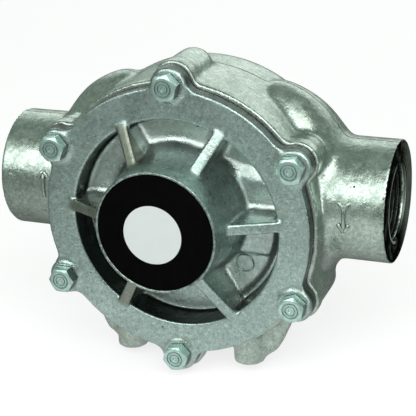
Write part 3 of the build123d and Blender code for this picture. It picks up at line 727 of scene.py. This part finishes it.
def relax(mesh, weight, even_rounds, rounds, convex):
    """Rounds a mesh as a casting does: the even rounds smooth all over, and in the rounds after them inside
    corners fill up while outside edges move by the convex share."""
    count = len(mesh.vertices)
    co = vectors_of(mesh, "co")
    normal = vectors_of(mesh, "normal")
    edges = np.empty(len(mesh.edges) * 2, np.int64)
    mesh.edges.foreach_get("vertices", edges)
    one, two = edges.reshape(-1, 2).T
    ends = np.concatenate((one, two))
    others = np.concatenate((two, one))
    degree = np.maximum(np.bincount(ends, minlength=count), 1)
    free = weight(co)
    for number in range(even_rounds + rounds):
        mean = np.stack([np.bincount(ends, co[others, k], count) for k in range(3)], 1) / degree[:, None]
        step = mean - co
        out = np.einsum("ij,ij->i", step, normal)
        slide = step - out[:, None] * normal
        if number >= even_rounds:
            out = np.where(out < 0, convex * out, out)
        co += 0.5 * free[:, None] * (slide + out[:, None] * normal)
    move_points(mesh, co)


def from_axis(co, z):
    """Distance from a line along Y at x 0 and this height."""
    return np.hypot(co[:, 0], co[:, 2] - z)


def from_port(co):
    """Distance from the ports' line along X."""
    return np.hypot(co[:, 1] - port_y, co[:, 2] - port_z)


def body_weight(co):
    """0 in the chamber, the ports and the bores, little on machined faces, 1 on the cast outside."""
    free = np.ones(len(co))
    from_channel = np.abs(co[:, 1] - port_y)
    inside = (from_axis(co, chamber_z) < chamber_radius + 1 * mm) & (co[:, 1] < chamber_rear_y + 1 * mm)
    inside |= (from_axis(co, chamber_z) < channel_radius + 1 * mm) & (from_channel < channel_half_width)
    inside |= (from_axis(co, 0.0) < hub_bore_radius) & (co[:, 1] > chamber_rear_y)
    inside |= from_port(co) < port_mouth_radius + 1 * mm
    free[inside] = 0.0
    free[(np.abs(co[:, 0]) > port_end - 2 * mm) & ~inside] = port_end_freedom
    free[(co[:, 1] > -rear_face_band) & ~inside] = rear_face_freedom
    free[co[:, 2] < foot_low_z + 1 * mm] = foot_freedom
    free[co[:, 1] < split_y + 0.4 * mm] = joint_face_freedom
    return free


def cover_weight(co):
    """Little on the machined hub rim and behind the flange, 1 on the cast front."""
    free = np.ones(len(co))
    free[co[:, 1] > split_y - 0.5 * mm] = flange_back_freedom
    free[co[:, 1] > split_y + 1 * mm] = 0.0
    free[from_axis(co, 0.0) < hub_cap_radius + 0.4 * mm] = 0.0
    rim = (from_axis(co, 0.0) < hub_cap_radius + 4 * mm) & (co[:, 1] < rim_y + 1.2 * mm)
    free[rim] = hub_rim_freedom
    return free


def floor_weight(co):
    """1 on the recess floor and its corners, falling to 0 up the ribs and the walls."""
    free = np.clip((co[:, 1] - (recess_floor_y - 10 * mm)) / (5 * mm), 0.0, 1.0)
    free[co[:, 1] > recess_floor_y + 2 * mm] = 0.0
    free[(from_axis(co, chamber_z) > recess_wall_radius) | (from_axis(co, 0.0) < hub_root_radius)] = 0.0
    return free


def nearest_rib(x, z):
    """Angle of the middle of the nearest rib, and how far a point is off it."""
    angle = np.arctan2(x, z)
    middle = np.round((angle - pi / 6) / (pi / 3)) * pi / 3 + pi / 6
    return middle, np.hypot(x, z) * np.sin(angle - middle)


def from_rib(x, z):
    """Distance from the nearest rib's side."""
    return np.abs(nearest_rib(x, z)[1]) - rib_half_width - rib_swell


def eased(share):
    """0 below 0 and 1 above 1, with a round foot and a round crest."""
    share = np.clip(share, 0.0, 1.0)
    return share * share * (3 - 2 * share)


def floor_rise(x, z):
    """How far the recess floor stands in front of its lowest level."""
    rise = np.zeros_like(x)
    for share, slope, edges in terraces:
        height = share * terrace_rise * mm
        step = np.full_like(x, height)
        for start, end in edges:
            run_x, run_z = (end[0] - start[0]) * mm, (end[1] - start[1]) * mm
            off = (z - start[1] * mm) * run_x - (x - start[0] * mm) * run_z
            drop = slope / ramp_stretch * off / np.hypot(run_x, run_z) / height
            step = np.minimum(step, height * eased(1 + drop))
        rise = np.maximum(rise, step)
    low = eased((low_step_radius - np.hypot(x, z - chamber_z)) / low_ramp)
    rise = np.where(z < low_step_z, rise * low, rise)
    feet = ((np.hypot(x, z) - hub_foot_radius, hub_foot_round), (from_rib(x, z), rib_foot_round))
    for away, foot_radius in feet:
        inward = np.clip(foot_radius - away, 0.0, foot_radius)
        rise = rise + foot_radius - np.sqrt(foot_radius**2 - inward**2)
    return rise


def swell_ribs(mesh):
    """Thickens the six ribs of the cover by a little on each side."""
    co = vectors_of(mesh, "co")
    radius = from_axis(co, 0.0)
    in_recess = from_axis(co, chamber_z) < recess_wall_radius
    ahead = np.where(in_recess, recess_floor_y + 1 * mm, flange_face_y - 0.05 * mm)
    free = (co[:, 1] < ahead) & (radius > hub_root_radius - 1 * mm) & (radius < rib_outer_end)
    free &= (co[:, 1] > rim_y + rib_behind_rim)
    middle, off = nearest_rib(co[:, 0], co[:, 2])
    near = np.clip(np.abs(off) / rib_half_width, 0.0, 1.0)
    fade = np.clip((rib_half_width + rib_swell_reach - np.abs(off)) / rib_swell_reach, 0.0, 1.0)
    push = np.where(free, np.sign(off) * rib_swell * near * fade, 0.0)
    co[:, 0] += push * np.cos(middle)
    co[:, 2] -= push * np.sin(middle)
    move_points(mesh, co)


def shape_floor(mesh):
    """Gives the recess floor its cast steps and the round feet of the ribs and the hub."""
    co = vectors_of(mesh, "co")
    depth = recess_floor_y - co[:, 1]
    inside = (depth > -1 * mm) & (depth < floor_highest)
    inside &= (from_axis(co, chamber_z) < recess_wall_radius) & (from_axis(co, 0.0) > hub_root_radius)
    steep = from_axis(co, 0.0) < hub_foot_radius + foot_margin
    steep |= from_rib(co[:, 0], co[:, 2]) < foot_margin
    floor_y = recess_floor_y - floor_rise(co[:, 0], co[:, 2])
    flat = inside & ~steep & (depth < floor_step_highest)
    co[flat, 1] = floor_y[flat]
    behind = inside & steep & (co[:, 1] > floor_y)
    co[behind, 1] = floor_y[behind]
    move_points(mesh, co)


def sink_port_ends(mesh):
    """Draws the port ends in a little, to take their turned faces."""
    co = vectors_of(mesh, "co")
    ends = np.abs(co[:, 0]) > port_end - 0.4 * mm
    co[ends, 0] = np.sign(co[ends, 0]) * (port_end - port_end_sink)
    move_points(mesh, co)


def clear_chamber(mesh):
    """Sets the chamber's remeshed walls back a little, so that the rotor and the rollers stay clear."""
    co = vectors_of(mesh, "co")
    radius = from_axis(co, chamber_z)
    wall = (np.abs(radius - chamber_radius) < chamber_wall_reach) & (co[:, 1] < chamber_rear_y + 0.3 * mm)
    rear = (radius < chamber_radius + 1 * mm) & (np.abs(co[:, 1] - chamber_rear_y) < chamber_rear_reach)
    stretch = np.where(wall, 1 + chamber_set_back / np.maximum(radius, mm), 1.0)
    co[:, 0] *= stretch
    co[:, 2] = chamber_z + (co[:, 2] - chamber_z) * stretch
    co[rear, 1] += 0.5 * chamber_set_back
    move_points(mesh, co)


def add_castings(body_metal, cover_metal):
    """The two castings, with cast corners."""
    body = remeshed(frame["nodes"]["pump_body"].data.copy(), body_voxel)
    relax(body, body_weight, even_rounds=4, rounds=30, convex=0.25)
    sink_port_ends(body)
    clear_chamber(body)
    new_piece("pump_body_casting", body, body_metal, "pump_body", smooth=60.0)
    cover = remeshed(frame["nodes"]["end_cover"].data.copy(), cover_voxel)
    swell_ribs(cover)
    shape_floor(cover)
    cover = remeshed(cover, cover_voxel)
    relax(cover, floor_weight, even_rounds=0, rounds=24, convex=1.0)
    relax(cover, cover_weight, even_rounds=3, rounds=12, convex=0.2)
    new_piece("end_cover_casting", cover, cover_metal, "end_cover", smooth=60.0)


def bolt_mesh(name, centre, turn):
    """A hex bolt with its head chamfered, rings pressed into its top, and a plain shank."""
    face_y = bolts_low.y
    end_y = bolts_high.y
    seat_y = face_y + head_height
    washer_y = seat_y - head_washer_height

    def around(radius_at, y_at):
        places = [(a, radius_at(a)) for a in angles(bolt_segments)]
        return [(centre[0] + r * cos(a), y_at(r), centre[1] + r * sin(a)) for a, r in places]

    def ring(radius, y):
        return around(lambda angle: radius, lambda r: y)

    def flats(angle):
        part = (angle - radians(turn)) % (pi / 3) - pi / 6
        return head_flats / 2 / cos(part)

    rings = [
        ring(0.4 * bolt_radius, end_y),
        ring(0.9 * bolt_radius, end_y),
        ring(bolt_radius, end_y - 0.6 * mm),
        ring(bolt_radius, seat_y),
        ring(head_washer_radius, seat_y),
        ring(head_washer_radius, washer_y),
        around(flats, lambda r: washer_y - (head_flats / 2 - r) * head_under_chamfer),
        around(flats, lambda r: face_y + (r - head_top_radius) * tan(head_chamfer)),
        ring(head_top_radius, face_y + 0.05 * mm),
        ring(head_top_radius - 0.15 * mm, face_y),
    ]
    rings += [ring(radius * mm, face_y + depth * mm) for radius, depth in head_rings]
    points, faces = skin(rings, closed_ends=True)
    return mesh_of(name, points, faces)


def add_bolts(metal):
    for number, turn in enumerate(head_turns):
        name = f"cover_bolt_{number + 1}"
        angle = tau * number / len(head_turns)
        centre = (bolt_circle_radius * sin(angle), chamber_z + bolt_circle_radius * cos(angle))
        new_piece(name, bolt_mesh(name, centre, turn), metal, "cover_bolts", smooth=24.0)


def port_ring(x, radius_at, count, sense=1):
    """Points round the ports' line, at radii given by their number round the ring."""
    ring = []
    for k, angle in enumerate(angles(count, sense)):
        radius = radius_at(k)
        ring.append((x, port_y + radius * cos(angle), port_z + radius * sin(angle)))
    return ring


def thread_mesh(name, side):
    """A sleeve in the port's bore with a tapered helical thread inside."""
    start = port_end - thread_start
    length = port_thread_length - thread_end_gap
    rows = int(length / thread_pitch * thread_steps)

    def thread_radius(depth, k):
        phase = (depth / thread_pitch - k / thread_segments) % 1.0
        wave = 1 - abs(2 * phase - 1)
        fade = min(1.0, depth / thread_pitch)
        return thread_crest + thread_depth * (wave * fade + 1 - fade) - thread_taper * depth

    rings = []
    for row in range(rows + 1):
        depth = length * row / rows
        x = side * (start - depth)
        rings.append(port_ring(x, lambda k: thread_radius(depth, k), thread_segments))
    for depth in (length, 0.0):
        rings.append(port_ring(side * (start - depth), lambda k: thread_sleeve, thread_segments))
    points, faces = skin(rings, looped=True)
    return mesh_of(name, points, faces)


def port_end_mesh(name, side):
    """The turned end face of a port, with eased edges and its mouth's chamfer."""
    outer = port_boss_radius - 0.35 * mm
    mouth = port_mouth_radius - 1.0 * mm
    inner = thread_sleeve - 0.55 * mm
    profile = [
        (port_end - port_chamfer, inner),
        (port_end - 0.9 * mm, inner),
        (port_end - 0.1 * mm, mouth - 0.1 * mm),
        (port_end, mouth + 0.1 * mm),
        (port_end, outer - 0.5 * mm),
        (port_end - 0.4 * mm, outer),
        (port_end - 0.8 * mm, outer),
        (port_end - 0.8 * mm, port_mouth_radius + 0.8 * mm),
        (port_end - port_chamfer, port_mouth_radius),
    ]
    rings = [port_ring(side * x, lambda k: radius, port_end_segments, side) for x, radius in profile]
    points, faces = skin(rings, looped=True)
    return mesh_of(name, points, faces)


def bar_on_boss(points, faces, start, end):
    """Adds a raised bar that follows the boss from start to end, both (x, s) with s round its surface."""
    run_x, run_s = end[0] - start[0], end[1] - start[1]
    length = (run_x**2 + run_s**2) ** 0.5
    across_x, across_s = -run_s / length, run_x / length
    half_width = 0.5 * arrow_stroke
    rings = []
    for step in range(arrow_steps + 1):
        x = start[0] + run_x * (step / arrow_steps)
        s = start[1] + run_s * (step / arrow_steps)
        ease = arrow_end_share if step in (0, arrow_steps) else 1.0
        ring = []
        for off, rise in (
            (-half_width, -arrow_sunk),
            (-half_width, arrow_shoulder * arrow_rise * ease),
            (-half_width + arrow_edge, arrow_rise * ease),
            (half_width - arrow_edge, arrow_rise * ease),
            (half_width, arrow_shoulder * arrow_rise * ease),
            (half_width, -arrow_sunk),
        ):
            angle = (s + across_s * off) / port_boss_radius
            radius = port_boss_radius + rise
            ring.append((x + across_x * off, port_y - radius * cos(angle), port_z + radius * sin(angle)))
        rings.append(ring)
    new_points, new_faces = skin(rings, closed_ends=True)
    base = len(points)
    points.extend(new_points)
    faces.extend([tuple(base + k for k in face) for face in new_faces])


def arrow_mesh(name, x, tail, tip, half_width, fletched):
    """A flow arrow: shaft, two head strokes and, if fletched, two tail strokes."""
    points, faces = [], []
    tail_s, tip_s = radians(tail) * port_boss_radius, radians(tip) * port_boss_radius
    sense = 1 if tip_s > tail_s else -1
    bar_on_boss(points, faces, (x, tail_s), (x, tip_s - sense * arrow_overlap))
    for side in (-1, 1):
        beside = x + side * half_width
        bar_on_boss(points, faces, (beside, tip_s - sense * arrow_head), (x, tip_s))
        if fletched:
            fletch_end = (beside, tail_s - sense * arrow_head * arrow_fletch_back)
            bar_on_boss(points, faces, fletch_end, (x, tail_s + sense * arrow_head * arrow_fletch_ahead))
    return mesh_of(name, points, faces)


def add_cap(black, white):
    """Black cap with an eased edge, and the bare round label."""
    front, rear = cap_low.y, cap_high.y
    radius = hub_cap_radius - cap_play
    profile = [
        (front + 0.5 * mm, radius),
        (front + 0.15 * mm, radius - 0.15 * mm),
        (front, radius - 0.6 * mm),
        (front, centre_hole),
        (front + cap_thickness, centre_hole),
        (front + cap_thickness, radius - cap_wall),
        (rear, radius - cap_wall),
        (rear, radius),
    ]
    new_piece("hub_cap_moulding", turned("hub_cap_moulding", profile), black, "hub_cap")
    label_middle = (label_low + label_high) / 2
    label_radius = (label_high.x - label_low.x) / 2
    profile = [
        (label_high.y, centre_hole),
        (label_high.y, label_radius),
        (label_low.y + 0.08 * mm, label_radius),
        (label_low.y, label_radius - 0.1 * mm),
        (label_low.y, centre_hole),
    ]
    label = turned("cap_label_disc", profile, (label_middle.x, label_middle.z))
    new_piece("cap_label_disc", label, white, "cap_label")


def add_mark(metal):
    """The plain round mould mark, raised on the recess floor."""
    centre = (mark_distance * sin(mark_angle), mark_distance * cos(mark_angle))
    floor_y = recess_floor_y - float(floor_rise(np.array([centre[0]]), np.array([centre[1]]))[0])
    profile = [(floor_y - rise * mm, radius * mm) for rise, radius in mark_profile]
    new_piece("mould_mark", turned("mould_mark", profile, centre, mark_segments), metal)


def add_ports(metal):
    """Threads and turned ends in both ports, and the flow arrows on their bosses."""
    # Painted shade: the threads are near black with a dark edge tint, for the shade deep in the bore
    shaded_thread_metal = machined_metal("machined", (0.04, 0.044, 0.036), "X", tint=thread_shade_tint)
    end_metal = turned_end("turned_black")
    for port, side in (("inlet", 1), ("outlet", -1)):
        thread = thread_mesh(f"{port}_thread", side)
        new_piece(f"{port}_thread", thread, shaded_thread_metal, smooth=25.0)
        end = port_end_mesh(f"{port}_end", side)
        new_piece(f"{port}_end", end, end_metal, smooth=30.0)
    for name, *shape in flow_arrows:
        new_piece(name, arrow_mesh(name, *shape), metal, smooth=50.0)


def dress_inner(materials):
    """Gives each CAD node that stays its finish, by its slot in the record."""
    slots = {entry["node"]: entry["material_slot"] for entry in frame["record"]["subparts"]}
    for name, node in frame["nodes"].items():
        node.data.materials.clear()
        node.data.materials.append(materials[slots[name]])


def set_camera():
    """The camera at the photograph's viewing angle."""
    azimuth, elevation, roll = radians(camera_azimuth), radians(camera_elevation), radians(camera_roll)
    back = Vector((sin(azimuth) * cos(elevation), -cos(azimuth) * cos(elevation), sin(elevation)))
    level = Vector((cos(azimuth), sin(azimuth), 0.0))
    rise = back.cross(level)
    right = cos(roll) * level + sin(roll) * rise
    up = cos(roll) * rise - sin(roll) * level
    data = bpy.data.cameras.new("camera")
    data.lens = camera_lens
    data.sensor_width = camera_sensor
    data.clip_start = camera_near
    camera = bpy.data.objects.new("camera", data)
    turn = Matrix((right, up, back)).transposed()
    camera.matrix_world = Matrix.Translation(camera_place) @ turn.to_4x4()
    bpy.context.scene.collection.objects.link(camera)
    bpy.context.scene.camera = camera


def set_floor():
    """Pale floor that keeps the shadow and shows white to the camera where it is lit."""
    half = floor_size / 2
    level = cad_low.z
    corners = [(-half, -half, level), (half, -half, level), (half, half, level), (-half, half, level)]
    mesh = mesh_of("floor", corners, [(0, 1, 2, 3)])
    material = bpy.data.materials.new("floor")
    material.use_nodes = True
    nodes, links = material.node_tree.nodes, material.node_tree.links
    nodes.clear()
    output = nodes.new("ShaderNodeOutputMaterial")
    total = nodes.new("ShaderNodeAddShader")
    paint = nodes.new("ShaderNodeBsdfDiffuse")
    paint.inputs["Color"].default_value = (floor_tone, floor_tone, floor_tone, 1.0)
    glow = nodes.new("ShaderNodeEmission")
    path = nodes.new("ShaderNodeLightPath")

    def calculated(operation, first, second):
        node = nodes.new("ShaderNodeMath")
        node.operation = operation
        for socket, value in zip(node.inputs, (first, second)):
            if isinstance(value, bpy.types.NodeSocket):
                links.new(value, socket)
            else:
                socket.default_value = value
        return node.outputs[0]

    length = nodes.new("ShaderNodeVectorMath")
    length.operation = "DISTANCE"
    links.new(nodes.new("ShaderNodeTexCoord").outputs["Object"], length.inputs[0])
    length.inputs[1].default_value = (*floor_shine_place, level)
    near = nodes.new("ShaderNodeMapRange")
    near.interpolation_type = "SMOOTHSTEP"
    links.new(length.outputs["Value"], near.inputs["Value"])
    near.inputs["From Min"].default_value = floor_shine_near
    near.inputs["From Max"].default_value = floor_shine_far
    near.inputs["To Min"].default_value = floor_shine
    near.inputs["To Max"].default_value = 0.0
    seen = calculated("MULTIPLY", path.outputs["Is Camera Ray"], floor_glow)
    mirrored = calculated("MULTIPLY", path.outputs["Is Glossy Ray"], near.outputs["Result"])
    through = calculated("MULTIPLY", path.outputs["Is Transmission Ray"], floor_glow)
    links.new(calculated("ADD", calculated("ADD", seen, mirrored), through), glow.inputs["Strength"])
    links.new(paint.outputs[0], total.inputs[0])
    links.new(glow.outputs[0], total.inputs[1])
    links.new(total.outputs[0], output.inputs["Surface"])
    mesh.materials.append(material)
    floor = bpy.data.objects.new("floor", mesh)
    bpy.context.scene.collection.objects.link(floor)


def set_world():
    """Even, slightly green light, which is white to the camera and a little whiter in the metal."""
    world = bpy.data.worlds.new("studio")
    bpy.context.scene.world = world
    world.use_nodes = True
    nodes, links = world.node_tree.nodes, world.node_tree.links
    background = nodes["Background"]
    path = nodes.new("ShaderNodeLightPath")
    colour = nodes.new("ShaderNodeMix")
    colour.data_type = "RGBA"
    colour.inputs[6].default_value = (*world_tone, 1.0)
    colour.inputs[7].default_value = (1.0, 1.0, 1.0, 1.0)
    shine = nodes.new("ShaderNodeMath")
    shine.operation = "MULTIPLY_ADD"
    links.new(path.outputs["Is Glossy Ray"], shine.inputs[0])
    shine.inputs[1].default_value = world_shine
    links.new(path.outputs["Is Transmission Ray"], shine.inputs[2])
    seen = nodes.new("ShaderNodeMath")
    links.new(path.outputs["Is Camera Ray"], seen.inputs[0])
    links.new(shine.outputs[0], seen.inputs[1])
    links.new(seen.outputs[0], colour.inputs[0])
    links.new(colour.outputs[2], background.inputs["Color"])


def softbox(name, direction, distance, width, height, radiance):
    """A soft light that looks at the pump from a direction."""
    data = bpy.data.lights.new(name, "AREA")
    data.shape = "RECTANGLE"
    data.size = width
    data.size_y = height
    data.energy = radiance * pi * width * height
    light = bpy.data.objects.new(name, data)
    middle = (cad_low + cad_high) / 2
    direction = Vector(direction).normalized()
    light.location = middle + distance * direction
    light.rotation_euler = direction.to_track_quat("Z", "Y").to_euler()
    light.visible_camera = False
    bpy.context.scene.collection.objects.link(light)


bpy.context.scene.view_settings.view_transform = "Standard"
set_camera()
set_floor()
set_world()
for soft_light in soft_lights:
    softbox(*soft_light)

materials = slot_materials()
dress_inner(materials)
add_castings(materials["body_casting"], materials["cover_casting"])
add_bolts(materials["zinc_plate"])
add_cap(materials["cap_black"], materials["label_white"])
add_mark(materials["cover_casting"])
add_ports(materials["body_casting"])

bpy.context.view_layer.update()
